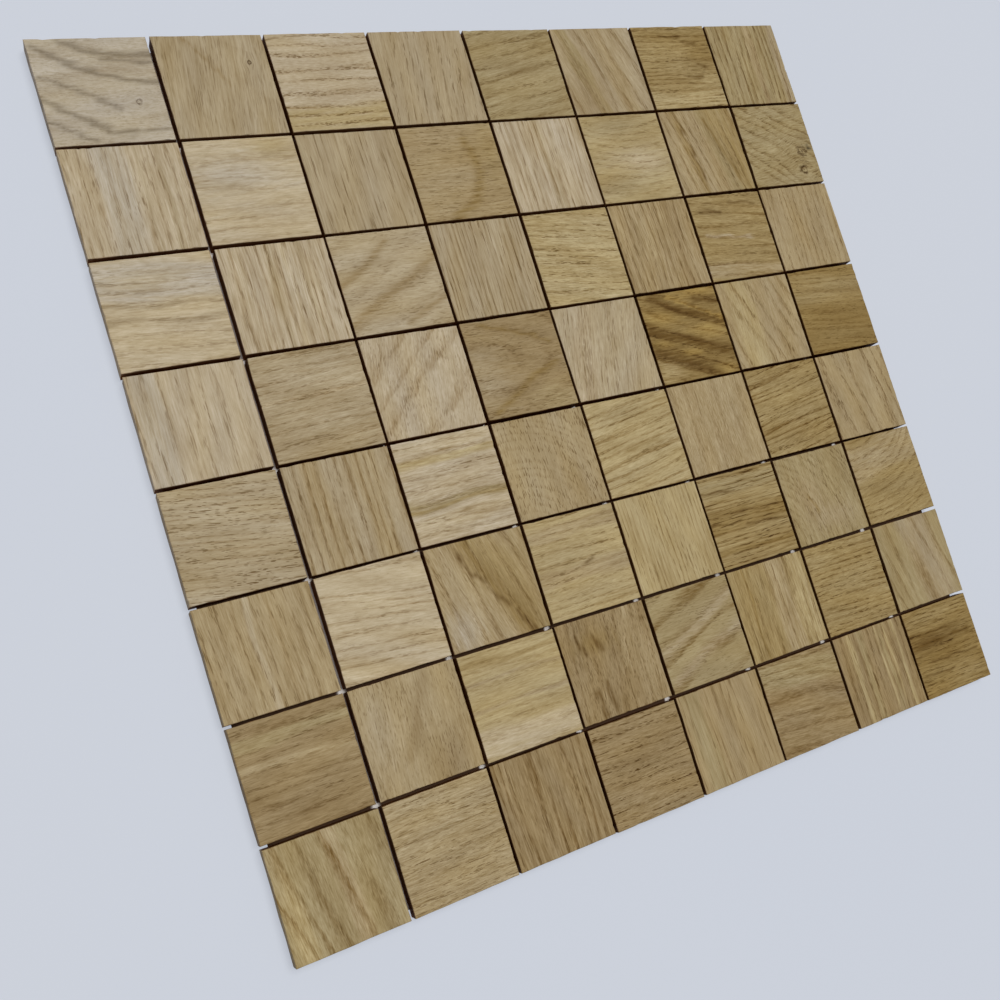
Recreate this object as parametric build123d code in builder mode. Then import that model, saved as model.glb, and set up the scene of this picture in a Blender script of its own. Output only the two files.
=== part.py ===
"""Wood mosaic tile: rows of square solid wood chips held at an even joint by a thin backing sheet.

The tile lies flat, face up. The origin is at the middle of its back, +X runs along a row of chips
and +Y towards the first row. All sizes are in millimetres.
"""

import os

from build123d import *

# Layout of the chips
row_count = 8
column_count = 8
joint_width = 1.1

# One chip
chip_side = 36.4
chip_thickness = 5.5
edge_easing = 0.25

# Backing sheet
sheet_thickness = 0.5
sheet_inset = 2.0

# Sizes that follow
chip_pitch = chip_side + joint_width
face_width = column_count * chip_pitch - joint_width
face_depth = row_count * chip_pitch - joint_width

os.makedirs("parts", exist_ok=True)

# Backing sheet: flat, and cut just short of the outer chips' edges, so that the face hides it
with BuildPart() as backing_sheet:
    with BuildSketch(Plane.XY):
        Rectangle(face_width - 2 * sheet_inset, face_depth - 2 * sheet_inset)
    extrude(amount=sheet_thickness)

backing_sheet.part.label = "backing_sheet"
export_step(backing_sheet.part, "parts/backing_sheet.step")

# Rows of chips: square sawn blocks bedded on the sheet, with a fine bevel eased round each face
for row in range(row_count):
    row_middle = ((row_count - 1) / 2 - row) * chip_pitch

    with BuildPart() as chip_row:
        with BuildSketch(Plane.XY.offset(sheet_thickness)):
            with Locations((0, row_middle)):
                with GridLocations(chip_pitch, chip_pitch, column_count, 1):
                    Rectangle(chip_side, chip_side)
        extrude(amount=chip_thickness)
        chip_faces = chip_row.faces().filter_by(Axis.Z).group_by(Axis.Z)[-1]
        chamfer(chip_faces.edges(), length=edge_easing)

    chip_row.part.label = f"chip_row_{row + 1}"
    export_step(chip_row.part, f"parts/{chip_row.part.label}.step")
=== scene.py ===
"""Looks of the wood mosaic tile: eight rows of oak chips on a white fleece backing, on a pale floor.

Lengths are in millimetres and angles in degrees, until a mesh or an object is made in metres.
Inside a chip, x runs right along its row and y up towards the first row, both from its middle.
"""

import math
from dataclasses import dataclass

import bpy
import numpy as np
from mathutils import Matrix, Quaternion, Vector


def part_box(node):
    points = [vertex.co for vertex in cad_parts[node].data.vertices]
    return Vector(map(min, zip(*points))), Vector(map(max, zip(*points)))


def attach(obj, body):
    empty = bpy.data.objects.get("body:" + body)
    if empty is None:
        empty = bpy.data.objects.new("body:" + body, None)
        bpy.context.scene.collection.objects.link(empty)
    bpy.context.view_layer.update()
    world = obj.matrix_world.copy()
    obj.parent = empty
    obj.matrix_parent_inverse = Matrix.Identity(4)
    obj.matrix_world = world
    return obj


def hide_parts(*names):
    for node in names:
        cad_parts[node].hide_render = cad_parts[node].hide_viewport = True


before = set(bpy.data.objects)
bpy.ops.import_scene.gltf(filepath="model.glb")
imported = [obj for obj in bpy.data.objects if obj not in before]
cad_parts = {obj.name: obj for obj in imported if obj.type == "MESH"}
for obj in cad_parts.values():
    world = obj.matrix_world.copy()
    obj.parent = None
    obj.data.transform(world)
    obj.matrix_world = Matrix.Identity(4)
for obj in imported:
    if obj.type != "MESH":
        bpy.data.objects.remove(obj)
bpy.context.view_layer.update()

MM = 0.001
SEED = 640

# Layout, read from the frame
row_low, row_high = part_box("chip_row_1")
sheet_low, sheet_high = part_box("backing_sheet")
ROW_COUNT = 8
COLUMN_COUNT = 8
CHIP_SIDE = (row_high.y - row_low.y) / MM
CHIP_PITCH = ((row_high.x - row_low.x) / MM - CHIP_SIDE) / (COLUMN_COUNT - 1)
CHIP_TOP = row_high.z / MM
CHIP_BOTTOM = row_low.z / MM
CHIP_THICKNESS = CHIP_TOP - CHIP_BOTTOM
HALF = CHIP_SIDE / 2

# How the chips were cut and laid
LAID_SHIFT = 0.14
LAID_TURN = 0.22
LAID_DROP = 0.06
COLUMN_SHIFT = {1: -0.25, 8: 0.15}
ROW_SHIFT = {8: -0.2}
WIDE_JOINTS = {(4, 1): -0.1, (5, 1): -0.2, (6, 1): -0.3, (7, 1): -0.2}

# Worn edges, and the ring relief of the face
EASING = 0.12
EDGE_WANDER = 0.04
EDGE_REACH = 2.5
NICK_DEPTH = (0.06, 0.22)
NICK_WIDTH = (0.3, 1.1)
NICKS_PER_SIDE = 3
RING_RELIEF = 0.03
WALL_WANDER = 0.04

# Depth of each line of points down a wall, and how far a splinter bites into the line and drops it
WALL_LINES = ((EASING, 0.55, 1.3), (0.45 * CHIP_THICKNESS, 0, 0), (CHIP_THICKNESS, 0, 0))

# Painted shade on the chips' walls, full in the joints: its share at their first line of points, and on the
# tile's outer sides
PAINTED_WALL_SHADE_START = 0.75
OUTER_WALL_PAINTED_SHADE = 0.3

# Ground colour: how strongly it varies in red, green and blue, and how full stains and streaks are
MOTTLE = (0.050, 0.062, 0.085)
HUE_DRIFT = (0.009, 0.0, -0.03)
PATCH_SHARE = 0.75
STROKE_SHARE = 0.8

# Knots: how far they part the fibres, in their radii, by what share, and how far off none is
KNOT_REACH = 4.5
KNOT_PARTING = 0.75
NO_KNOT = 50.0

# Rings: their wander as a share of their gap, their ripple, their lean with depth and their uneven widths
RING_WANDER = 0.14
RING_RIPPLE = 0.12
RING_LEAN = 0.6
RING_UNEVEN = 0.3

# How far the grain, the edges of stripes and the drawn streaks stray from their lines
GRAIN_WANDER = 0.3
BAND_WANDER = 0.6
BAND_RIPPLE = 0.12
STROKE_WANDER = 0.4

# Reach of the random place in the grain that each chip is cut from
CUT_FROM = 500

# Grid of a chip's face: long cells along the grain, narrow ones across it
CELLS_ALONG = 26
CELLS_ACROSS = 112
END_LINE = 0.35

# Camera, fitted to the crossings of the joints and the corners of the face
EYE = Vector((-187.86, -79.87, 347.1))
AIM = Vector((-11.83, -57.17, 6.0))
ROLL = 65.804
SENSOR = 36.0
LENS = 38.399
SHIFT_X = -0.1
SHIFT_Y = 0.0596

# Wood tones, as linear colours
TONES = {
    "ash": (0.420, 0.364, 0.275),
    "ivory": (0.455, 0.374, 0.243),
    "cream": (0.428, 0.352, 0.236),
    "sand": (0.392, 0.318, 0.200),
    "tan": (0.356, 0.284, 0.173),
    "fawn": (0.352, 0.272, 0.149),
    "rose": (0.336, 0.254, 0.133),
    "straw": (0.392, 0.308, 0.158),
    "honey": (0.372, 0.255, 0.080),
    "olive": (0.320, 0.250, 0.127),
    "golden": (0.310, 0.228, 0.100),
    "brown": (0.282, 0.205, 0.101),
    "amber": (0.250, 0.170, 0.060),
    "smoke": (0.240, 0.199, 0.139),
    "umber": (0.115, 0.062, 0.012),
    "dark": (0.130, 0.074, 0.020),
    "bark": (0.030, 0.020, 0.010),
}


@dataclass
class Look:
    """How one chip looks. The grain runs along the row or up the column, and its turns are from there."""

    tone: str
    turn: float = 0.0  # of the pores and fibres
    stretch: float = 1.0  # of the pores and fibres along the grain
    ring_turn: float = None  # of the rings, where they leave the fibres
    gap: float = 4.0  # from ring to ring
    rings: float = 0.25  # darkness of the rings
    pores: float = 0.35  # darkness of the pores
    fibres: float = 1.0  # strength of the fibres
    gather: float = 0.6  # share of the pores that keep to the rings
    heart: tuple = None  # x, y of the rings' middle, and their width over their length
    bands: tuple = ()  # place across the grain, width and tone of each stripe
    patches: tuple = ()  # x, y, half width, half height and tone of each soft stain
    strokes: tuple = ()  # half width, tone and points of each drawn streak
    knots: tuple = ()  # x, y and radius


# The chips by row and column, from the first row and the left
# Their tones are partly the chips' own and partly painted light: paler and greyer towards the upper left as
# a painted sheen, darker towards the right as painted shade.
LOOKS = {
    (1, 1): Look("ash", stretch=0.6, gap=9.0, rings=0.1, pores=0.2, fibres=0.5, gather=0.1,
                 knots=((10.2, -4.5, 0.8),),
                 strokes=((1.0, "smoke", (-9, 18), (-5, 15.9), (0, 13.6), (6, 12.4), (18, 12.2)),
                          (0.9, "smoke", (-6, 16.2), (0, 13.2), (6, 12), (18, 11.4)),
                          (0.6, "smoke", (3, 11), (11, 9.8), (18, 9.4)),
                          (0.9, "smoke", (-17, 16), (-11, 12.1), (-6, 9), (0, 6.1), (6, 4), (18, 2.3)),
                          (0.9, "smoke", (-15, 14.4), (-6, 8.6), (0, 5.7), (9, 3), (18, 1.9)),
                          (0.9, "smoke", (-17, 5.4), (-10, 1.9), (-5, -0.4), (0, -3.5), (4.4, -6.6)),
                          (1.1, "smoke", (-18, -2), (-13, -5.4), (-9, -8.1), (-4.4, -11), (-0.6, -13.8)),
                          (1.1, "smoke", (-15, -4.6), (-9, -8.6), (-4, -11.6), (0, -14), (6, -15)),
                          (0.6, "smoke", (2, -14.6), (18, -14.2)),
                          (0.9, "smoke", (-18, -9), (-12.5, -12.9), (-6, -17)))),
    (1, 2): Look("tan", turn=-6, stretch=2.0, ring_turn=50, gap=16.0, rings=0.1, pores=0.3, fibres=0.7,
                 gather=0.1, knots=((11.6, 8.1, 0.55),),
                 strokes=((0.6, "brown", (-9, 18), (-2, 9), (3, 0)),)),
    (1, 3): Look("cream", turn=1, stretch=0.6, gap=4.4, rings=0.3, pores=0.55, fibres=0.6, gather=0.95,
                 bands=((-14, 9, "straw"),)),
    (1, 4): Look("tan", turn=-7, stretch=1.5, gap=3.4, rings=0.1, pores=0.5, fibres=0.6, gather=0.8),
    (1, 5): Look("olive", turn=11, gap=4.5, rings=0.3, pores=0.4, fibres=0.8),
    (1, 6): Look("tan", turn=15, gap=7.0, rings=0.3, pores=0.3, fibres=0.7,
                 bands=((4, 8, "fawn"), (-9, 6, "olive")),
                 patches=((-11, -13, 8, 9, "brown"),)),
    (1, 7): Look("golden", gap=2.2, rings=0.3, pores=0.55, bands=((-15, 7, "straw"),),
                 patches=((14, 8, 8, 7, "amber"), (-6, 14, 14, 3, "amber"), (14, -13, 8, 5, "straw")),
                 strokes=((2.4, "amber", (9, 5), (18, 4)), (1.8, "amber", (13, 13), (18, 12)),
                          (0.7, "umber", (-6, 13.8), (4, 13.6)), (0.9, "umber", (5.5, 10.9), (11, 10.5)),
                          (0.8, "umber", (9.5, 1), (13.5, -0.6)), (0.7, "umber", (2, -4), (9.5, -4.8)))),
    (1, 8): Look("olive", turn=-1, stretch=1.4, gap=3.2, rings=0.4, pores=0.6, fibres=0.8,
                 bands=((3, 3, "fawn"), (16, 4, "tan"))),
    (2, 1): Look("cream", stretch=1.6, gap=3.2, rings=0.2, pores=0.42, fibres=0.7,
                 bands=((-4, 10, "ash"), (4.5, 1.0, "tan"), (11, 1.2, "tan"))),
    (2, 2): Look("ivory", gap=4.0, rings=0.15, pores=0.2, fibres=0.6,
                 patches=((-6, 5, 16, 9, "ash"), (10, 15, 7, 4, "straw"))),
    (2, 3): Look("tan", turn=1, stretch=2.2, gap=2.8, rings=0.12, pores=0.42, fibres=0.6, gather=0.7),
    (2, 4): Look("rose", turn=-1, stretch=1.2, gap=2.0, rings=0.15, pores=0.5, fibres=0.7, gather=0.3,
                 strokes=((2.0, "amber", (5.5, 12), (8, 5), (8.2, -2), (3.5, -12), (-6, -17)),),
                 patches=((15, 6, 5, 12, "golden"), (-10, -2, 9, 10, "fawn"))),
    (2, 5): Look("cream", turn=1, stretch=2.0, gap=2.6, rings=0.3, pores=0.4, fibres=0.8,
                 bands=((0, 3, "sand"),)),
    (2, 6): Look("straw", gap=3.2, rings=0.14, pores=0.4, fibres=0.6, heart=(2, 50, 0.9),
                 patches=((5, -1, 13, 5, "sand"), (6, -2, 8, 2.4, "ivory"), (-8, -13, 14, 5, "olive"),
                          (0, 14, 20, 5, "olive"))),
    (2, 7): Look("fawn", turn=12, gap=4.0, rings=0.25, pores=0.4, fibres=0.8,
                 bands=((6, 6, "olive"), (14, 13, "golden")),
                 strokes=((1.7, "amber", (-12, 18), (-9.5, 5), (-6, -18)),
                          (0.6, "dark", (-11, 18), (-8.3, 4), (-5.2, -12)),
                          (0.8, "amber", (3, 14), (7, 2), (12.5, -14)))),
    (2, 8): Look("olive", turn=8, ring_turn=-35, gap=5.0, rings=0.3, pores=0.5, gather=0.6,
                 knots=((11.6, -3.6, 1.8), (9.5, -12.0, 1.6)),
                 strokes=((0.6, "umber", (8.4, -11.3), (9.8, -10.7), (11.2, -11.2)),
                          (1.0, "bark", (15.2, -1.8), (16.6, -2.8)))),
    (3, 1): Look("ivory", turn=-3, gap=4.6, rings=0.12, pores=0.3, fibres=0.7,
                 bands=((10, 12, "ash"), (-3, 1.6, "tan"), (2, 1.2, "tan"))),
    (3, 2): Look("cream", stretch=2.0, gap=3.0, rings=0.3, pores=0.45, fibres=0.8, gather=0.75,
                 bands=((-2, 1.5, "tan"), (3, 2, "ivory"), (9, 1.2, "tan"))),
    (3, 3): Look("sand", ring_turn=33, gap=10.0, rings=0.15, pores=0.35, fibres=0.6, gather=0.2,
                 strokes=((1.5, "brown", (-18, 0), (-7.3, 6.2), (1.8, 14.6)),
                          (1.2, "brown", (2, -16), (18, -8)),
                          (1.7, "brown", (-18, -13.8), (-5.5, -6.5), (7.3, 0), (18, 7.3)),
                          (0.5, "dark", (-10.5, 7), (-10, 6.8)))),
    (3, 4): Look("tan", stretch=2.0, gap=1.9, rings=0.3, pores=0.45, fibres=0.7),
    (3, 5): Look("straw", turn=-7, gap=3.4, rings=0.15, pores=0.65, gather=0.5),
    (3, 6): Look("rose", turn=1, stretch=1.6, gap=3.0, rings=0.25, pores=0.5,
                 bands=((-4, 3, "fawn"), (9, 3, "brown"))),
    (3, 7): Look("golden", turn=-5, gap=4.4, rings=0.35, pores=0.4, bands=((-15, 6, "fawn"),),
                 strokes=((0.7, "cream", (-14, 1.5), (8, -1.5)), (0.9, "dark", (-14, 12), (-4, 10.5)),
                          (0.6, "dark", (2, 15), (15, 13)))),
    (3, 8): Look("fawn", turn=-2, gap=3.0, rings=0.25, pores=0.5, fibres=0.6, gather=0.5),
    (4, 1): Look("cream", stretch=1.6, gap=4.4, rings=0.15, pores=0.38, fibres=0.6, gather=0.8,
                 bands=((-13, 8, "ash"),)),
    (4, 2): Look("tan", turn=3, gap=3.6, rings=0.25, pores=0.4, fibres=0.8,
                 bands=((2.5, 1.0, "ivory"), (9, 10, "sand")),
                 patches=((0, -12, 20, 5, "fawn"), (-1, 11, 5, 0.8, "brown"))),
    (4, 3): Look("cream", turn=-9, ring_turn=-48, gap=10.0, rings=0.3, pores=0.4, fibres=0.7, gather=0.2),
    (4, 4): Look("brown", gap=9.0, rings=0.2, pores=0.45, fibres=0.7, gather=0.3, heart=(-12, 3, 0.5),
                 patches=((12, -15, 9, 5, "straw"), (-14, -4, 7, 14, "tan")),
                 strokes=((0.7, "amber", (-11, 16.5), (-2, 14), (9, 10), (14, 7)),
                          (1.2, "amber", (15, -1), (4, -5), (-5, -11), (-14, -16)))),
    (4, 5): Look("sand", turn=-13, stretch=1.4, gap=3.6, rings=0.1, pores=0.45, fibres=0.8,
                 bands=((-10, 9, "cream"),)),
    (4, 6): Look("amber", turn=-3, ring_turn=-24, gap=4.6, rings=0.4, pores=0.6, gather=0.5,
                 patches=((-14, -14, 6, 4, "straw"), (-10, 8, 9, 3, "honey"), (10, 1, 9, 3, "honey"),
                          (9, 17, 9, 2, "honey"), (12, -16, 6, 2, "honey"), (-13, -2, 5, 2, "honey"),
                          (-1, -7, 6, 1.5, "honey")),
                 strokes=((2.6, "umber", (-12, 17), (-4.7, 11.3), (2.5, 8.4), (9.5, 6.9), (18, 3)),
                          (1.4, "umber", (7, 14), (18, 12)), (1.8, "amber", (6, -10), (18, -12.5)),
                          (3.0, "umber", (-18, 4.5), (-10.9, 0.7), (-4.7, -1), (2.5, -3.6), (10.2, -6.9),
                           (18, -9)),
                          (2.6, "umber", (-18, -3), (-10.9, -6.9), (-4.7, -9.8), (2.5, -13.5), (8, -17)),
                          (0.7, "honey", (-5, 16.5), (6, 10.9), (17.5, 4.9)),
                          (0.7, "umber", (-13, 16.5), (-2.5, 10.4), (6, 8), (16, 4)),
                          (0.7, "umber", (-17, 3.4), (-9, 0.6), (-1, -1.6), (6, -4.8), (15, -9.6)),
                          (0.6, "umber", (-17, -5), (-11, -8.4), (-4, -11.6), (4, -16)))),
    (4, 7): Look("fawn", turn=2, ring_turn=22, gap=6.0, rings=0.25, pores=0.4, fibres=0.7,
                 bands=((-8, 12, "straw"),)),
    (4, 8): Look("amber", turn=-5, gap=3.0, rings=0.25, pores=0.5, fibres=0.6, gather=0.3,
                 bands=((9, 12, "golden"),)),
    (5, 1): Look("sand", turn=-7, gap=2.6, rings=0.25, pores=0.65, fibres=0.6, gather=0.3,
                 bands=((-8, 14, "tan"),)),
    (5, 2): Look("tan", stretch=1.2, gap=3.4, rings=0.4, pores=0.4, fibres=0.7,
                 bands=((-9, 7, "fawn"), (9, 8, "fawn"))),
    (5, 3): Look("cream", turn=1, gap=5.0, rings=0.15, pores=0.38, fibres=0.8,
                 bands=((10.5, 2.6, "straw"), (-4.8, 3.4, "olive"), (-5.6, 1.0, "golden"),
                        (-10.5, 4, "ivory"), (15.5, 4, "ivory")),
                 strokes=((0.35, "brown", (-2.5, 12.9), (11.5, 12.7)),
                          (0.35, "brown", (-14, -9.6), (12, -8.6)))),
    (5, 4): Look("fawn", stretch=1.1, gap=3.2, rings=0.1, pores=0.6, fibres=0.6, gather=0.2,
                 heart=(-14, -26, 1.0)),
    (5, 5): Look("straw", turn=9, gap=3.6, rings=0.42, pores=0.4, fibres=0.8,
                 strokes=((1.2, "golden", (-6, -2), (9, 0)),)),
    (5, 6): Look("fawn", gap=5.0, rings=0.14, pores=0.22, bands=((-9, 6, "rose"),)),
    (5, 7): Look("golden", turn=9, gap=2.8, rings=0.5, pores=0.65),
    (5, 8): Look("fawn", turn=5, ring_turn=10, gap=6.5, rings=0.2, pores=0.55, fibres=0.6, gather=0.9),
    (6, 1): Look("fawn", turn=3, stretch=1.5, gap=3.6, rings=0.18, pores=0.4, fibres=0.8,
                 bands=((5, 1.5, "rose"), (-2, 2, "sand"))),
    (6, 2): Look("ivory", turn=-6, gap=3.6, rings=0.28, pores=0.35, fibres=0.6),
    (6, 3): Look("fawn", turn=14, gap=5.0, rings=0.25, pores=0.35, fibres=0.8,
                 patches=((-12, -12, 6, 7, "ash"), (9, 8, 9, 9, "golden"), (12, -8, 6, 9, "amber")),
                 strokes=((5.0, "golden", (-2, 18), (6, 4), (11, -8), (16, -18)),
                          (3.4, "amber", (-4, 16), (1, 5), (6, -6), (12, -17)),
                          (0.9, "dark", (-7, 13.5), (-4.5, 7), (-0.5, 3.5)),
                          (0.8, "dark", (2, -2), (5.5, -7)),
                          (0.7, "dark", (8, -10), (12.5, -18)))),
    (6, 4): Look("straw", turn=1, gap=3.2, rings=0.22, pores=0.4, fibres=0.7,
                 bands=((-3, 6, "fawn"), (13, 5, "fawn")),
                 strokes=((0.6, "dark", (1, -0.6), (4, 0)),)),
    (6, 5): Look("straw", turn=1, stretch=1.5, gap=1.7, rings=0.22, pores=0.4, fibres=0.6, gather=0.6),
    (6, 6): Look("golden", stretch=1.8, gap=2.1, rings=0.42, pores=0.8, gather=0.4,
                 bands=((0, 8, "amber"), (-12, 2, "amber"), (13, 6, "olive")),
                 strokes=((0.5, "dark", (-8, 2.5), (15, 1)), (0.4, "dark", (-2, -3), (16, -4.5)),
                          (0.4, "dark", (-18, -1), (-4, -1.6)), (0.4, "dark", (-18, 12), (-2, 11)))),
    (6, 7): Look("olive", turn=6, gap=3.0, rings=0.15, pores=0.5, fibres=0.7, gather=0.3,
                 heart=(-30, -16, 1.0),
                 strokes=((0.5, "amber", (-7, 1), (-6, -3)), (0.5, "amber", (-4.6, -3), (-4, -7))),
                 patches=((-6, -3, 5, 6, "rose"), (-7, 2, 7, 7, "fawn"), (3, -9, 10, 5, "tan"))),
    (6, 8): Look("golden", turn=9, gap=3.4, rings=0.22, pores=0.45, fibres=0.8, heart=(-14, 42, 1.0),
                 bands=((10, 14, "fawn"),)),
    (7, 1): Look("brown", turn=1, gap=4.0, rings=0.22, pores=0.4, fibres=0.8,
                 bands=((4, 3, "fawn"), (12, 4, "olive"))),
    (7, 2): Look("fawn", turn=-2, ring_turn=-32, gap=13.0, rings=0.1, pores=0.4, fibres=0.6, gather=0.2,
                 strokes=((1.7, "brown", (7, 16), (1.4, 4.6), (-1.8, -2.9), (-5, -8)),),
                 patches=((-12, 3, 8, 13, "sand"), (12, -13, 9, 9, "brown"))),
    (7, 3): Look("straw", gap=4.4, rings=0.15, pores=0.25, fibres=0.7,
                 bands=((-13, 9, "ivory"), (-1, 1.5, "fawn"), (8, 1.2, "fawn"), (14, 2, "golden"))),
    (7, 4): Look("brown", turn=-3, gap=4.0, rings=0.2, pores=0.6, fibres=0.8, gather=0.3,
                 patches=((14, -8, 6, 14, "fawn"), (-6, 9, 9, 4, "amber")),
                 strokes=((0.9, "dark", (-12, 12), (-9.5, 6)), (0.9, "dark", (-5, 11), (-3, 5.5)),
                          (1.0, "dark", (-10, -8), (-8.5, -17)), (0.8, "dark", (-5, -6), (-4.5, -17)),
                          (2.0, "fawn", (10, 18), (7, 8), (4.5, -2)))),
    (7, 5): Look("olive", ring_turn=22, gap=8.0, rings=0.45, pores=0.4, fibres=0.6, gather=0.3,
                 strokes=((2.0, "sand", (-18, -4), (0, 3), (18, 12)),
                          (1.8, "sand", (-16, -15), (0, -7), (18, -1)))),
    (7, 6): Look("golden", stretch=1.5, gap=4.0, rings=0.2, pores=0.45,
                 bands=((-11, 1.0, "amber"), (4, 9, "fawn"), (13, 8, "straw"))),
    (7, 7): Look("golden", turn=-1, gap=2.4, rings=0.35, pores=0.65),
    (7, 8): Look("olive", turn=8, ring_turn=13, gap=7.5, rings=0.3, pores=0.25, fibres=0.6,
                 bands=((5, 16, "tan"),)),
    (8, 1): Look("olive", turn=6, ring_turn=13, gap=7.0, rings=0.45, pores=0.25,
                 bands=((-15, 6, "straw"), (3, 5, "fawn"))),
    (8, 2): Look("fawn", gap=3.0, rings=0.15, pores=0.5, gather=0.4),
    (8, 3): Look("brown", turn=1, stretch=1.5, gap=4.4, rings=0.4, pores=0.45),
    (8, 4): Look("brown", turn=-1, gap=3.0, rings=0.25, pores=0.75, gather=0.6),
    (8, 5): Look("rose", turn=2, stretch=2.0, gap=3.0, rings=0.2, pores=0.35, fibres=0.6,
                 bands=((-12, 8, "olive"),)),
    (8, 6): Look("brown", turn=-6, gap=5.5, rings=0.35, pores=0.35, heart=(-4, -45, 0.6),
                 bands=((12, 10, "olive"),)),
    (8, 7): Look("brown", stretch=1.6, gap=3.0, rings=0.25, pores=0.5, fibres=0.8,
                 bands=((-10.5, 2.6, "straw"), (-5, 3, "olive"), (3.6, 0.9, "straw"), (8.5, 0.8, "straw"),
                        (6, 2, "olive"), (13, 1.4, "straw"))),
    (8, 8): Look("amber", turn=-1, stretch=1.6, gap=1.8, rings=0.2, pores=0.7, gather=0.4,
                 patches=((-6, 4, 15, 4, "dark"), (2, 15, 25, 4, "golden"), (8, -12, 9, 4, "golden")),
                 strokes=((0.6, "umber", (-18, 8), (8, 7)), (0.8, "umber", (-18, 3.5), (14, 4)),
                          (0.5, "dark", (-10, -4), (16, -5)), (0.5, "dark", (-16, -9), (0, -9.5)))),
}


def waves(rng, places, lengths, count=6):
    """A smooth wandering value of about -1 to 1 at places, a list of arrays, with these typical lengths."""
    total = np.zeros_like(places[0])
    for _ in range(count):
        phase = rng.uniform(0, 2 * math.pi)
        for place, length in zip(places, lengths):
            phase = phase + place * rng.choice((-1, 1)) * rng.uniform(0.4, 1.2) * 2 * math.pi / length
        total = total + np.sin(phase)
    return total / math.sqrt(count)


def turned(x, y, degrees):
    """x and y in axes that are turned anticlockwise by that angle."""
    c = math.cos(math.radians(degrees))
    s = math.sin(math.radians(degrees))
    return x * c + y * s, y * c - x * s


def nicked_edge(rng, place):
    """How far one edge of a face is worn back from its line, and how deep its splinters go."""
    wander = EDGE_WANDER * waves(rng, [place], [9.0])
    splinter = np.zeros_like(place)
    for _ in range(rng.integers(0, NICKS_PER_SIDE + 1)):
        middle = rng.uniform(-HALF, HALF)
        width = rng.uniform(*NICK_WIDTH)
        depth = rng.uniform(*NICK_DEPTH)
        splinter = np.maximum(splinter, depth * np.exp(-(((place - middle) / width) ** 2)))
    return EASING + wander + splinter, splinter


def chip_grid():
    """Even places along and across a chip, with one more line close to each sawn end."""
    along = np.linspace(-HALF, HALF, CELLS_ALONG + 1)
    along = np.sort(np.append(along, (-HALF + END_LINE, HALF - END_LINE)))
    across = np.linspace(-HALF, HALF, CELLS_ACROSS + 1)
    return along, across


def grid_quads(rows, columns):
    """Vertex numbers of each cell of a grid, anticlockwise."""
    number = np.arange(rows * columns).reshape(rows, columns)
    corners = [number[:-1, :-1], number[1:, :-1], number[1:, 1:], number[:-1, 1:]]
    return np.stack(corners, axis=-1).reshape(-1, 4)


def rim_of(rows, columns):
    """Vertex numbers round a grid's edge, anticlockwise, and the side that each step runs along."""
    number = np.arange(rows * columns).reshape(rows, columns)
    runs = [number[:-1, 0], number[-1, :-1], number[:0:-1, -1], number[0, :0:-1]]
    side = np.repeat(np.arange(4), [len(run) for run in runs])
    return np.concatenate(runs), side


SIDE_OUT = np.array([(0, -1), (1, 0), (0, 1), (-1, 0)], float)

# Map for baking: nine cells, eight for the chips' fronts and the last for their backs
MAP_CELLS = 3
MAP_CELL_SIZE = 2 * (HALF + CHIP_THICKNESS) + 1.0


def chip_shape(rng):
    """One chip's points in its own grain axes, its faces, and what lies where."""
    along, across = chip_grid()
    a, c = np.meshgrid(along, across, indexing="ij")
    rows, columns = a.shape
    rim, side = rim_of(rows, columns)
    worn = [nicked_edge(rng, place) for place in (along, across, along, across)]

    top_a = a.copy()
    top_c = c.copy()
    top_c += worn[0][0][:, None] * np.clip(1 - (c + HALF) / EDGE_REACH, 0, 1)
    top_a -= worn[1][0][None, :] * np.clip(1 - (HALF - a) / EDGE_REACH, 0, 1)
    top_c -= worn[2][0][:, None] * np.clip(1 - (HALF - c) / EDGE_REACH, 0, 1)
    top_a += worn[3][0][None, :] * np.clip(1 - (a + HALF) / EDGE_REACH, 0, 1)
    top = np.stack([top_a.ravel(), top_c.ravel(), np.zeros(a.size)], axis=1)

    splinter = np.zeros_like(a)
    splinter[:, 0] = worn[0][1]
    splinter[-1, :] = np.maximum(splinter[-1, :], worn[1][1])
    splinter[:, -1] = np.maximum(splinter[:, -1], worn[2][1])
    splinter[0, :] = np.maximum(splinter[0, :], worn[3][1])
    splinter = splinter.ravel()[rim]

    edge = np.stack([a.ravel()[rim], c.ravel()[rim]], axis=1)
    inward = -np.sign(edge) * (np.abs(edge) > HALF - 1e-6)
    loops = []
    for depth, bite, drop in WALL_LINES:
        wander = WALL_WANDER * waves(rng, [edge[:, 0], edge[:, 1]], [11.0, 11.0])
        flat = edge + inward * (wander + bite * splinter)[:, None]
        loops.append(np.column_stack([flat, -depth - drop * splinter]))
    points = np.concatenate([top] + loops)

    upper = rim
    walls = []
    for step in range(len(loops)):
        lower = rows * columns + step * len(rim) + np.arange(len(rim))
        walls.append(np.stack([upper, lower, np.roll(lower, -1), np.roll(upper, -1)], axis=1))
        upper = lower
    shape = {"points": points, "quads": grid_quads(rows, columns)}
    shape["walls"] = np.concatenate(walls)
    shape["back"] = upper[::-1]
    shape["wall_side"] = np.tile(side, len(loops))
    shape["side"] = np.concatenate([np.full(len(top), -1)] + [side] * len(loops))
    steps = [np.full(len(rim), step + 1.0) for step in range(len(loops))]
    shape["step"] = np.concatenate([np.zeros(len(top))] + steps)
    return shape


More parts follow.
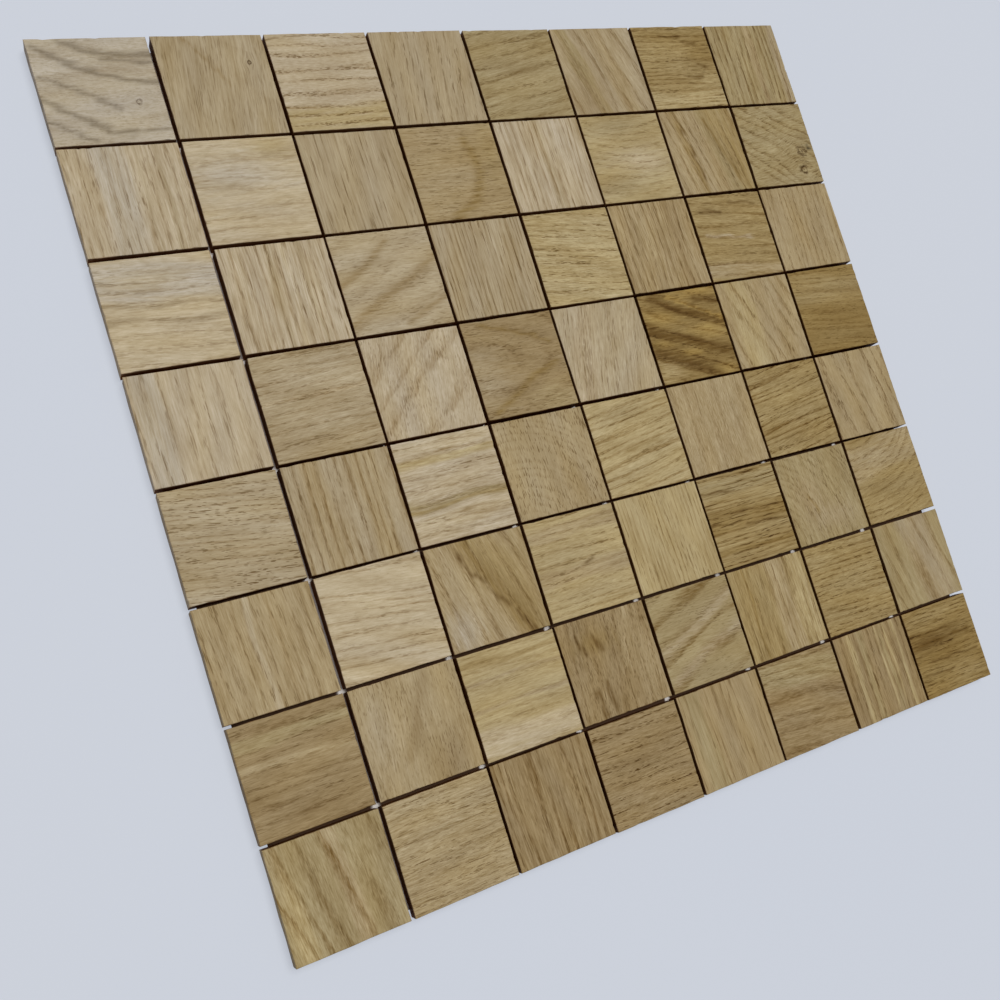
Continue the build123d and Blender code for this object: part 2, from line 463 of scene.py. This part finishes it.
def unfolded(shape, cell):
    """The chip's map, corner by corner: face in a cell, walls folded out round it, back aside."""
    flat = shape["points"][:, :2]
    depth = -shape["points"][:, 2]
    face = flat[shape["quads"]].reshape(-1, 2)
    out = SIDE_OUT[shape["wall_side"]][:, None, :] * depth[shape["walls"]][:, :, None]
    wall = (flat[shape["walls"]] + out).reshape(-1, 2)
    back = flat[shape["back"]]
    place = np.array((cell % MAP_CELLS + 0.5, cell // MAP_CELLS + 0.5))
    front = place + np.concatenate([face, wall]) / MAP_CELL_SIZE
    behind = MAP_CELLS - 1 + (place + back / MAP_CELL_SIZE) / MAP_CELLS
    return np.concatenate([front, behind]) / MAP_CELLS


def knot_bend(x, y, across, knots):
    """The place across the grain, with the fibres parted round each knot."""
    bent = across.copy()
    for knot_x, knot_y, radius in knots:
        away = np.hypot(x - knot_x, y - knot_y)
        reach = np.exp(-((away / (KNOT_REACH * radius)) ** 2))
        middle = across[np.argmin(away)]
        bent = bent - KNOT_PARTING * (bent - middle) * reach
    return bent


def ring_field(rng, look, x, y, depth, axis):
    """Ring number at each point, counted from the rings' middle or across their run."""
    turn = look.turn if look.ring_turn is None else look.ring_turn
    along, across = turned(x, y, axis + turn)
    if look.heart:
        heart_along, heart_across = turned(look.heart[0], look.heart[1], axis + turn)
        across = np.hypot(across - heart_across, (along - heart_along) * look.heart[2])
    across = knot_bend(x, y, across, look.knots)
    wobble = RING_WANDER * look.gap * waves(rng, [along, across], [48.0, 18.0])
    wobble = wobble + RING_RIPPLE * waves(rng, [along, across], [16.0, 5.0])
    ring = (across + wobble + RING_LEAN * depth) / look.gap + rng.uniform(0, 50)
    return ring + RING_UNEVEN * waves(rng, [ring], [3.4])


def way_from(line, x, y):
    """How far each place is from a line of points."""
    best = np.full(len(x), np.inf)
    for (start_x, start_y), (end_x, end_y) in zip(line, line[1:]):
        run_x = end_x - start_x
        run_y = end_y - start_y
        part = ((x - start_x) * run_x + (y - start_y) * run_y) / (run_x**2 + run_y**2)
        part = np.clip(part, 0, 1)
        best = np.minimum(best, np.hypot(x - start_x - part * run_x, y - start_y - part * run_y))
    return best


def tint_field(rng, look, x, y, axis):
    """Ground colour at each point: the chip's tone with its stripes, stains and a soft mottle."""
    along, across = turned(x, y, axis + look.turn)
    place = across if axis == 0 else -across
    colour = np.tile(TONES[look.tone], (len(x), 1))
    edge = BAND_WANDER * waves(rng, [along, across], [30.0, 12.0])
    edge = edge + BAND_RIPPLE * waves(rng, [along, across], [9.0, 1.6])
    ragged = STROKE_WANDER * waves(rng, [along, across], [10.0, 4.0])
    for middle, width, name in look.bands:
        away = (np.abs(place + edge - middle) - width / 2) / (0.15 * width + 0.25)
        share = np.clip(0.95 + 0.2 * waves(rng, [along, across], [22.0, 2.6]), 0.3, 1)
        share = share / (1 + np.exp(3 * away))
        colour += (np.array(TONES[name]) - colour) * share[:, None]
    for middle_x, middle_y, half_x, half_y, name in look.patches:
        away = ((x - middle_x) / half_x) ** 2 + ((y - middle_y) / half_y) ** 2
        away = away * np.clip(1 + 0.35 * waves(rng, [along, across], [14.0, 2.4]), 0.3, 2)
        share = PATCH_SHARE * np.exp(-away)
        colour += (np.array(TONES[name]) - colour) * share[:, None]
    for half_width, name, *line in look.strokes:
        away = way_from(line, x + ragged, y + ragged) / half_width
        broken = np.clip(1 + 0.35 * waves(rng, [along, across], [12.0, 1.4]), 0.3, 1.2)
        share = STROKE_SHARE * np.exp(-(away**2)) * broken
        colour += (np.array(TONES[name]) - colour) * share[:, None]
    mottle = 0.8 * waves(rng, [along, across], [30.0, 10.0])
    mottle = mottle + 0.6 * waves(rng, [along, across], [60.0, 30.0])
    mottle = mottle - mottle.mean()
    drift = waves(rng, [along, across], [45.0, 12.0])
    drift = drift - drift.mean()
    return colour * (1 - mottle[:, None] * np.array(MOTTLE) + drift[:, None] * np.array(HUE_DRIFT))


def knot_field(look, x, y):
    """Way from the nearest knot in its radii, far off where the chip has none."""
    best = np.full((len(x), 3), NO_KNOT)
    for knot_x, knot_y, radius in look.knots:
        way = np.stack([(x - knot_x) / radius, (y - knot_y) / radius, np.zeros(len(x))], axis=1)
        nearer = np.hypot(way[:, 0], way[:, 1]) < np.hypot(best[:, 0], best[:, 1])
        best[nearer] = way[nearer]
    return best


def make_chip(row, column):
    """One chip in the tile's place: points, faces and what its wood looks like at each point."""
    look = LOOKS[row, column]
    rng = np.random.default_rng(SEED + 100 * row + column)
    axis = 0 if (row + column) % 2 == 0 else 90
    shape = chip_shape(rng)
    points = shape["points"]
    x, y = turned(points[:, 0], points[:, 1], -axis)
    depth = -points[:, 2]
    along, across = turned(x, y, axis + look.turn)
    wander = GRAIN_WANDER * waves(rng, [along, across], [50.0, 30.0])
    across = knot_bend(x, y, across, look.knots) + wander
    ring = ring_field(rng, look, x, y, depth, axis)
    offset = rng.uniform(-CUT_FROM, CUT_FROM, 3)
    chip = {"shape": shape, "ring": ring, "map": unfolded(shape, column - 1)}
    chip["grain"] = np.stack([along / look.stretch, across, depth], axis=1) + offset
    chip["tint"] = tint_field(rng, look, x, y, axis)
    chip["knot"] = knot_field(look, x, y)
    rings = look.rings * np.clip(1 + 0.45 * waves(rng, [along, across], [45.0, 12.0]), 0.2, 1.6)
    pores = look.pores * np.clip(1 + 0.35 * waves(rng, [along, across], [30.0, 14.0]), 0.3, 1.6)
    chip["figure"] = np.stack([rings, pores, np.full(len(x), look.gather)], axis=1)
    chip["fibres"] = np.full(len(x), look.fibres)

    # Painted shade on the walls: full inside the joints, a little on the tile's outer sides, none on the
    # face, deepening down from the face
    outer = np.array([row == ROW_COUNT, column == COLUMN_COUNT, row == 1, column == 1])
    side = (shape["side"].astype(int) + (0 if axis == 0 else 1)) % 4
    painted_shade_share = np.where(shape["side"] < 0, 0.0, np.where(outer[side], OUTER_WALL_PAINTED_SHADE, 1.0))
    chip["wall"] = np.interp(shape["step"], (0, 1, 2), (0, PAINTED_WALL_SHADE_START, 1)) * painted_shade_share

    relief = RING_RELIEF * look.rings * (np.cos(2 * math.pi * ring) - 1)
    lift = np.where(shape["step"] == 0, relief, 0) - rng.uniform(0, LAID_DROP) * (shape["step"] < 3)
    laid_x, laid_y = turned(x, y, rng.uniform(-LAID_TURN, LAID_TURN))
    middle_x = (column - (COLUMN_COUNT + 1) / 2) * CHIP_PITCH
    middle_y = ((ROW_COUNT + 1) / 2 - row) * CHIP_PITCH
    shift = rng.uniform(-LAID_SHIFT, LAID_SHIFT, 2)
    shift = shift + (COLUMN_SHIFT.get(column, 0), ROW_SHIFT.get(row, 0))
    shift[0] += WIDE_JOINTS.get((row, column), 0)
    chip["points"] = np.stack([middle_x + laid_x + shift[0], middle_y + laid_y + shift[1],
                               CHIP_TOP - depth + lift], axis=1)
    return chip


def set_values(mesh, name, kind, values):
    """Gives the mesh a named value at each point."""
    field = {"FLOAT": "value", "FLOAT_VECTOR": "vector", "FLOAT_COLOR": "color"}[kind]
    made = mesh.attributes.new(name, kind, "POINT")
    made.data.foreach_set(field, np.asarray(values, np.float32).ravel())


def make_row(row, material):
    """The eight chips of one row as one piece."""
    chips = [make_chip(row, column + 1) for column in range(COLUMN_COUNT)]
    faces = []
    smooth = []
    first = 0
    for chip in chips:
        shape = chip["shape"]
        for quads in (shape["quads"], shape["walls"]):
            faces.extend((first + quads).tolist())
        faces.append((first + shape["back"]).tolist())
        smooth.extend([True] * len(shape["quads"]) + [False] * (len(shape["walls"]) + 1))
        first += len(chip["points"])
    gathered = {name: np.concatenate([chip[name] for chip in chips])
                for name in ("points", "grain", "ring", "tint", "knot", "figure", "fibres", "wall", "map")}
    mesh = bpy.data.meshes.new(f"oak_chips_{row}")
    mesh.from_pydata((gathered["points"] * MM).tolist(), [], faces)
    mesh.polygons.foreach_set("use_smooth", smooth)
    set_values(mesh, "grain", "FLOAT_VECTOR", gathered["grain"])
    set_values(mesh, "knot", "FLOAT_VECTOR", gathered["knot"])
    set_values(mesh, "figure", "FLOAT_VECTOR", gathered["figure"])
    set_values(mesh, "ring", "FLOAT", gathered["ring"])
    set_values(mesh, "fibres", "FLOAT", gathered["fibres"])
    set_values(mesh, "wall", "FLOAT", gathered["wall"])
    set_values(mesh, "tint", "FLOAT_COLOR", np.column_stack([gathered["tint"], np.ones(first)]))
    baking = mesh.uv_layers.new(name="OFBake")
    baking.uv.foreach_set("vector", gathered["map"].astype(np.float32).ravel())
    mesh.materials.append(material)
    piece = bpy.data.objects.new(f"oak_chips_{row}", mesh)
    bpy.context.scene.collection.objects.link(piece)
    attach(piece, "root")
    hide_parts(f"chip_row_{row}")


class Graph:
    """A material's nodes: each call adds one node, sets or links its inputs and returns its output."""

    def __init__(self, name):
        self.material = bpy.data.materials.new(name)
        self.material.use_nodes = True
        self.tree = self.material.node_tree
        self.tree.nodes.clear()

    def add(self, kind, inputs=(), out=0, **settings):
        node = self.tree.nodes.new("ShaderNode" + kind)
        for name, value in settings.items():
            setattr(node, name, value)
        pairs = inputs.items() if isinstance(inputs, dict) else enumerate(inputs)
        for key, value in pairs:
            if isinstance(value, bpy.types.NodeSocket):
                self.tree.links.new(value, node.inputs[key])
            elif value is not None:
                node.inputs[key].default_value = value
        return node.outputs[out]

    def math(self, operation, *values):
        return self.add("Math", values, operation=operation)

    def vector(self, operation, *values):
        return self.add("VectorMath", values, operation=operation)

    def spread(self, value, low, high, to_low=0.0, to_high=1.0):
        return self.add("MapRange", (value, low, high, to_low, to_high), interpolation_type="SMOOTHSTEP")

    def noise(self, place, scale, detail=2.0, roughness=0.5):
        stretched = self.vector("MULTIPLY", place, scale)
        inputs = {"Vector": stretched, "Scale": 1.0, "Detail": detail, "Roughness": roughness}
        return self.add("TexNoise", inputs)

    def dots(self, place, scale):
        stretched = self.vector("MULTIPLY", place, scale)
        return self.add("TexVoronoi", {"Vector": stretched, "Scale": 1.0, "Randomness": 1.0})

    def blend(self, share, first, second):
        return self.add("Mix", {0: share, 6: first, 7: second}, out=2, data_type="RGBA", blend_type="MIX")

    def shaded(self, share, colour, shade):
        inputs = {0: share, 6: colour, 7: shade}
        return self.add("Mix", inputs, out=2, data_type="RGBA", blend_type="MULTIPLY", clamp_factor=False)

    def about_middle(self, value, strength):
        return self.math("MULTIPLY_ADD", value, -strength, strength / 2)

    def value(self, name, out="Fac"):
        return self.add("Attribute", out=out, attribute_name=name)

    def finish(self, shader):
        end = self.tree.nodes.new("ShaderNodeOutputMaterial")
        self.tree.links.new(shader, end.inputs["Surface"])
        return self.material


# Oak: how often each feature repeats in a millimetre, along the grain and twice across it
FIBRE_SCALE = (0.20, 2.2, 2.2)
STREAK_SCALE = (0.030, 0.5, 0.5)
TICK_SCALE = (0.34, 1.7, 1.7)
SHORT_PORE_SCALE = (0.34, 2.3, 2.3)
LONG_PORE_SCALE = (0.12, 1.6, 1.6)
LUMP_SCALE = (0.55, 0.7, 0.7)

# Oak: where in a ring, from 0 to 1, its dark early wood rises and falls away
EARLY_RISE = (0.0, 0.14)
EARLY_FALL = (0.16, 0.62)

# Oak: size of the pores, least and by the room they have, their soft edge, and the room of scattered pores
PORE_LEAST = 0.06
SHORT_PORE = 0.40
LONG_PORE = 0.32
PORE_EDGE = (-0.02, 0.09)
SCATTERED = 0.6

# Oak: how strongly fibres and knots shade the wood
STREAK_STRENGTH = 1.0
FIBRE_STRENGTH = 2.8
TICK_STRENGTH = 1.4
KNOT_STRENGTH = 0.85

# Oak: what each feature multiplies the ground colour by
RING_SHADE = (0.54, 0.42, 0.22, 1)
FIBRE_SHADE = (0.62, 0.54, 0.35, 1)
PORE_SHADE = (0.32, 0.22, 0.09, 1)
KNOT_SHADE = (0.18, 0.11, 0.05, 1)
# Painted shade on the chips' walls, darkest in the joints
WALL_PAINTED_SHADE = (0.42, 0.18, 0.07, 1)

# Oak: roughness, least and by its fibres and pores, gloss and what the walls lose of it
ROUGH_LEAST = 0.46
ROUGH_FIBRES = 0.16
ROUGH_PORES = 0.15
GLOSS = 0.08
WALL_GLOSS_LOSS = 0.07

# Depth of the fine relief of oak and fleece, in metres
BUMP_DEPTH = 0.0002


def oak():
    """Sawn and sanded oak: rings, pores along the grain, fibres and knots, from the values on the chips."""
    g = Graph("oak")
    grain = g.value("grain", "Vector")
    tint = g.value("tint", "Color")
    figure = g.add("SeparateXYZ", [g.value("figure", "Vector")], out=0).node
    ring_share, pore_share, gather = figure.outputs

    fibre = g.noise(grain, FIBRE_SCALE, detail=3.0, roughness=0.68)
    streak = g.noise(grain, STREAK_SCALE, detail=3.0, roughness=0.6)
    tick = g.noise(grain, TICK_SCALE, detail=2.0, roughness=0.6)

    wander = g.math("MULTIPLY_ADD", streak, 0.5, -0.25)
    phase = g.math("FRACT", g.math("ADD", g.value("ring"), wander))
    rise = g.spread(phase, *EARLY_RISE)
    fall = g.spread(phase, *EARLY_FALL, 1.0, 0.0)
    early = g.math("MULTIPLY", rise, fall)
    broken = g.spread(tick, 0.3, 0.7, 1.35, 0.65)
    ring_dark = g.math("MULTIPLY", g.math("MULTIPLY", early, broken), ring_share)

    near = g.math("MULTIPLY", gather, early)
    kept = g.math("SUBTRACT", 1.0, gather)
    room = g.math("MULTIPLY_ADD", kept, SCATTERED, near)
    short_way = g.dots(grain, SHORT_PORE_SCALE)
    short = g.math("SUBTRACT", g.math("MULTIPLY_ADD", room, SHORT_PORE, PORE_LEAST), short_way)
    long_way = g.dots(grain, LONG_PORE_SCALE)
    long = g.math("SUBTRACT", g.math("MULTIPLY_ADD", room, LONG_PORE, PORE_LEAST), long_way)
    pore = g.spread(g.math("MAXIMUM", short, long), *PORE_EDGE)
    pore_dark = g.math("MULTIPLY", pore, pore_share)

    knot_way = g.vector("LENGTH", g.value("knot", "Vector")).node.outputs["Value"]
    lump = g.noise(grain, LUMP_SCALE, detail=2.0, roughness=0.6)
    knot_edge = g.math("ADD", knot_way, g.math("MULTIPLY_ADD", lump, 2.4, -1.2))
    bark = g.math("MULTIPLY", g.spread(knot_edge, 0.4, 0.8), g.spread(knot_edge, 0.9, 1.8, 1.0, 0.0))
    bark = g.math("MULTIPLY", bark, g.spread(tick, 0.35, 0.65, 1.1, 0.3))
    knot = g.math("MAXIMUM", bark, g.spread(knot_edge, -0.1, 0.3, 0.8, 0.0))

    shade = g.about_middle(streak, STREAK_STRENGTH)
    shade = g.math("ADD", shade, g.about_middle(fibre, FIBRE_STRENGTH))
    shade = g.math("ADD", shade, g.about_middle(tick, TICK_STRENGTH))
    shade = g.math("MULTIPLY", shade, g.value("fibres"))
    colour = g.shaded(ring_dark, tint, RING_SHADE)
    colour = g.shaded(shade, colour, FIBRE_SHADE)
    colour = g.shaded(pore_dark, colour, PORE_SHADE)
    colour = g.shaded(g.math("MULTIPLY", knot, KNOT_STRENGTH), colour, KNOT_SHADE)
    # Painted shade: the walls are darkened towards dark brown, most in the joints
    colour = g.shaded(g.value("wall"), colour, WALL_PAINTED_SHADE)

    height = g.math("MULTIPLY_ADD", pore_dark, -1.0, g.math("MULTIPLY", fibre, 0.5))
    bump = g.add("Bump", {"Strength": 0.35, "Distance": BUMP_DEPTH, "Height": height})
    rough = g.math("MULTIPLY_ADD", fibre, ROUGH_FIBRES, ROUGH_LEAST)
    rough = g.math("MULTIPLY_ADD", pore, ROUGH_PORES, rough)
    gloss = g.math("MULTIPLY_ADD", g.value("wall"), -WALL_GLOSS_LOSS, GLOSS)
    inputs = {"Base Color": colour, "Roughness": rough, "Normal": bump, "Specular IOR Level": gloss}
    return g.finish(g.add("BsdfPrincipled", inputs))


# Fleece: its tones, its fibres' repeats in a metre along each axis, and how far they stray
FLEECE_LOW = (0.74, 0.71, 0.68, 1)
FLEECE_HIGH = (0.88, 0.85, 0.82, 1)
THREAD_SCALE = (2600.0, 420.0, 900.0)
CROSS_SCALE = (420.0, 2600.0, 900.0)
FIBRE_STRAY = (0.0016, 0.0016, 0.0016)

# Painted shade on the fleece's face in the joints, in metres: from what height and way from a crossing, and
# its share in the first joint
JOINT_PAINTED_SHADE = (0.085, 0.038, 0.014, 1)
PAINTED_SHADE_FROM = (sheet_low.z + sheet_high.z) / 2
PAINTED_SHADE_STARTS = (0.0006, 0.0014)
FIRST_JOINT = (1 - COLUMN_COUNT / 2) * CHIP_PITCH * MM
FIRST_JOINT_REACH = (0.001, 0.002)
FIRST_JOINT_PAINTED_SHADE = 0.6


def fleece():
    """White bonded fleece with matted fibres.

    On its face, painted shade darkens the joints brown but not where they cross.
    """
    g = Graph("fleece")
    place = g.add("TexCoord", out="Object")
    warp = g.add("TexNoise", {"Vector": place, "Scale": 900.0, "Detail": 2.0}, out="Color")
    moved = g.vector("ADD", place, g.vector("MULTIPLY", warp, FIBRE_STRAY))
    threads = g.noise(moved, THREAD_SCALE, detail=3.0, roughness=0.6)
    cross = g.noise(moved, CROSS_SCALE, detail=3.0, roughness=0.6)
    mat = g.math("MAXIMUM", threads, cross)
    tone = g.spread(mat, 0.35, 0.75)
    colour = g.blend(tone, FLEECE_LOW, FLEECE_HIGH)
    away = g.add("SeparateXYZ", [place], out=0).node.outputs
    # Painted shade: dark brown in the joints on the face, left out where the joints cross, lighter in the
    # first joint
    between = [g.math("PINGPONG", away[axis], CHIP_PITCH * MM / 2) for axis in (0, 1)]
    aside = g.math("MAXIMUM", *between)
    on_face = g.math("GREATER_THAN", away[2], PAINTED_SHADE_FROM)
    joint_shade = g.math("MULTIPLY", g.spread(aside, *PAINTED_SHADE_STARTS), on_face)
    first_joint = g.math("ABSOLUTE", g.math("SUBTRACT", away[0], FIRST_JOINT))
    thin = g.spread(first_joint, *FIRST_JOINT_REACH, FIRST_JOINT_PAINTED_SHADE, 1.0)
    joint_shade = g.math("MULTIPLY", joint_shade, thin)
    colour = g.shaded(joint_shade, colour, JOINT_PAINTED_SHADE)
    bump = g.add("Bump", {"Strength": 0.5, "Distance": BUMP_DEPTH, "Height": mat})
    shader = g.add("BsdfPrincipled", {"Base Color": colour, "Roughness": 0.9, "Normal": bump})
    return g.finish(shader)


# Backing sheet: cells to a side, and how far its cut edge and its underside stray
SHEET_CELLS = 96
SHEET_EDGE_WANDER = 0.35
SHEET_DIMPLE = 0.03


def make_sheet(material):
    """The backing: a thin closed sheet with a hand-cut edge, as flat as the chips' backs."""
    rng = np.random.default_rng(SEED)
    low = np.array(sheet_low) / MM
    high = np.array(sheet_high) / MM
    step = np.linspace(0, 1, SHEET_CELLS + 1)
    u, v = np.meshgrid(step, step, indexing="ij")
    x = low[0] + u * (high[0] - low[0])
    y = low[1] + v * (high[1] - low[1])
    edge_x = SHEET_EDGE_WANDER * waves(rng, [y], [60.0])
    edge_y = SHEET_EDGE_WANDER * waves(rng, [x], [60.0])
    x = x - np.abs(edge_x) * (2 * u - 1)
    y = y - np.abs(edge_y) * (2 * v - 1)
    dimple = SHEET_DIMPLE * (1 + waves(rng, [x, y], [14.0, 14.0])) / 2
    upper = np.stack([x.ravel(), y.ravel(), np.full(x.size, high[2])], axis=1)
    lower = np.stack([x.ravel(), y.ravel(), low[2] + np.abs(dimple).ravel()], axis=1)
    quads = grid_quads(*x.shape)
    rim, _ = rim_of(*x.shape)
    below = rim + x.size
    edge = np.stack([rim, below, np.roll(below, -1), np.roll(rim, -1)], axis=1)
    faces = quads.tolist() + (quads[:, ::-1] + x.size).tolist() + edge.tolist()
    mesh = bpy.data.meshes.new("fleece_sheet")
    mesh.from_pydata((np.concatenate([upper, lower]) * MM).tolist(), [], faces)
    mesh.polygons.foreach_set("use_smooth", [n < 2 * len(quads) for n in range(len(faces))])
    mesh.materials.append(material)
    piece = bpy.data.objects.new("fleece_sheet", mesh)
    bpy.context.scene.collection.objects.link(piece)
    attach(piece, "root")
    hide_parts("backing_sheet")


# Floor, in metres, and the share of it that the camera sees evenly lit
FLOOR_COLOUR = (0.61, 0.645, 0.716, 1)
FLOOR_CLOUD = (0.60, 0.638, 0.716, 1)
FLOOR_SIZE = 6.0
FLOOR_DROP = 0.00005
EVEN_SHARE = 0.65


def floor_material():
    """A pale matt table top. Most of what the camera sees of it is even, so that the shadow stays faint."""
    g = Graph("floor")
    place = g.add("TexCoord", out="Object")
    cloud = g.add("TexNoise", {"Vector": place, "Scale": 3.0, "Detail": 2.0})
    colour = g.blend(g.spread(cloud, 0.3, 0.7), FLOOR_COLOUR, FLOOR_CLOUD)
    lit = g.add("BsdfDiffuse", {"Color": colour})
    even = g.add("Emission", {"Color": colour, "Strength": 1.0})
    ray = g.add("LightPath").node
    seen = g.math("MAXIMUM", ray.outputs["Is Camera Ray"], ray.outputs["Is Glossy Ray"])
    seen = g.math("MAXIMUM", seen, ray.outputs["Is Transmission Ray"])
    shader = g.add("MixShader", [g.math("MULTIPLY", seen, EVEN_SHARE), lit, even])
    return g.finish(shader)


def make_floor():
    """A wide flat floor just under the tile."""
    mesh = bpy.data.meshes.new("floor")
    half = FLOOR_SIZE / 2
    corners = [(-half, -half, 0), (half, -half, 0), (half, half, 0), (-half, half, 0)]
    mesh.from_pydata(corners, [], [(0, 1, 2, 3)])
    mesh.materials.append(floor_material())
    floor = bpy.data.objects.new("floor", mesh)
    floor.location.z = -FLOOR_DROP
    bpy.context.scene.collection.objects.link(floor)


# Light: the lamp's direction, its share of the light, its width in degrees and the colours
KEY_FROM = Vector((0.12, 0.18, 0.97))
KEY_SHARE = 0.80
KEY_ANGLE = 36.0
KEY_COLOUR = (1.0, 0.98, 0.95)
SKY_COLOUR = (0.98, 0.98, 1.0, 1)


def make_lights():
    """One wide soft lamp from above, and an even pale sky. Together they light the face at 1."""
    lamp = bpy.data.lights.new("key", "SUN")
    lamp.angle = math.radians(KEY_ANGLE)
    lamp.color = KEY_COLOUR
    lamp.energy = KEY_SHARE * math.pi / KEY_FROM.normalized().z
    key = bpy.data.objects.new("key", lamp)
    key.rotation_mode = "QUATERNION"
    key.rotation_quaternion = (-KEY_FROM).to_track_quat("-Z", "Y")
    bpy.context.scene.collection.objects.link(key)

    world = bpy.data.worlds.new("sky")
    world.use_nodes = True
    bpy.context.scene.world = world
    nodes = world.node_tree.nodes
    links = world.node_tree.links
    nodes.clear()
    out = nodes.new("ShaderNodeOutputWorld")
    sky = nodes.new("ShaderNodeBackground")
    sky.inputs["Color"].default_value = SKY_COLOUR
    sky.inputs["Strength"].default_value = 1 - KEY_SHARE
    backdrop = nodes.new("ShaderNodeBackground")
    backdrop.inputs["Color"].default_value = FLOOR_COLOUR
    ray = nodes.new("ShaderNodeLightPath")
    pick = nodes.new("ShaderNodeMixShader")
    links.new(ray.outputs["Is Camera Ray"], pick.inputs[0])
    links.new(sky.outputs[0], pick.inputs[1])
    links.new(backdrop.outputs[0], pick.inputs[2])
    links.new(pick.outputs[0], out.inputs["Surface"])


def make_camera():
    """The camera at the photograph's viewing angle."""
    lens = bpy.data.cameras.new("camera")
    lens.sensor_width = SENSOR
    lens.lens = LENS
    lens.shift_x = SHIFT_X
    lens.shift_y = SHIFT_Y
    camera = bpy.data.objects.new("camera", lens)
    camera.location = EYE * MM
    camera.rotation_mode = "QUATERNION"
    roll = Quaternion((0, 0, 1), math.radians(ROLL))
    camera.rotation_quaternion = (AIM - EYE).to_track_quat("-Z", "Y") @ roll
    bpy.context.scene.collection.objects.link(camera)
    bpy.context.scene.camera = camera


oak_wood = oak()
for row in range(1, ROW_COUNT + 1):
    make_row(row, oak_wood)
make_sheet(fleece())
make_floor()
make_lights()
make_camera()
bpy.context.scene.view_settings.view_transform = "Standard"
